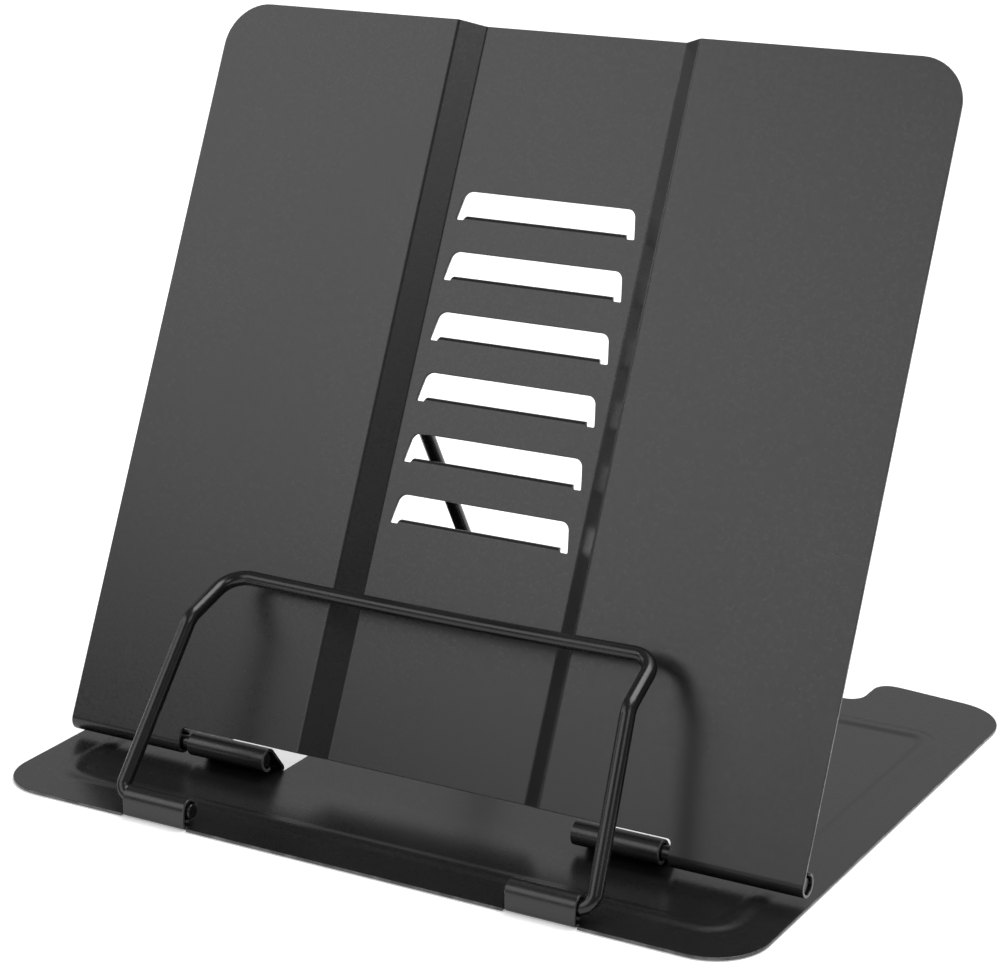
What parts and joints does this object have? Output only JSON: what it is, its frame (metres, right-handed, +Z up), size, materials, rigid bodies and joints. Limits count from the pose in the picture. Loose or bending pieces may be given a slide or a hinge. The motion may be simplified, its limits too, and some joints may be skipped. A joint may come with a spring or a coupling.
{
  "type": "book display stand",
  "caption": "Folding book display stand of black sheet steel, with a slotted back plate leaning on a wire prop and a wire page holder in front.",
  "frame": {"origin": "centre of the base's footprint, on the table surface", "axes": "+X to the right seen from the reader's side, +Y to the rear, +Z up"},
  "size_m": [0.21, 0.1734, 0.1837],
  "materials": {
    "coated_sheet": "fine-textured satin black powder coat",
    "coated_wire": "smooth semi-gloss black coat"
  },
  "bodies": {
    "base": {"base_plate": "coated_sheet", "hinge_pin_left": "coated_wire", "hinge_pin_right": "coated_wire"},
    "back": {"back_plate": "coated_sheet"},
    "prop": {"prop_wire": "coated_wire"},
    "page_holder": {"page_holder_wire": "coated_wire"}
  },
  "joints": [
    {"name": "plate_hinge", "type": "hinge", "parent": "base", "child": "back", "pos_m": [0, -0.0507, 0.0056], "axis": [-1, 0, 0], "range_deg": [0, 60.5]},
    {"name": "prop_hinge", "type": "hinge", "parent": "base", "child": "prop", "pos_m": [0, 0.0448, 0.0041], "axis": [-1, 0, 0], "range_deg": [0, 119]},
    {"name": "page_holder_hinge", "type": "hinge", "parent": "base", "child": "page_holder", "pos_m": [0, -0.08365, 0.0043], "axis": [1, 0, 0], "range_deg": [-4.5, 124]}
  ],
  "couplings": [
    {"joint": "prop_hinge", "follows": "plate_hinge", "ratio": 1.96}
  ]
}
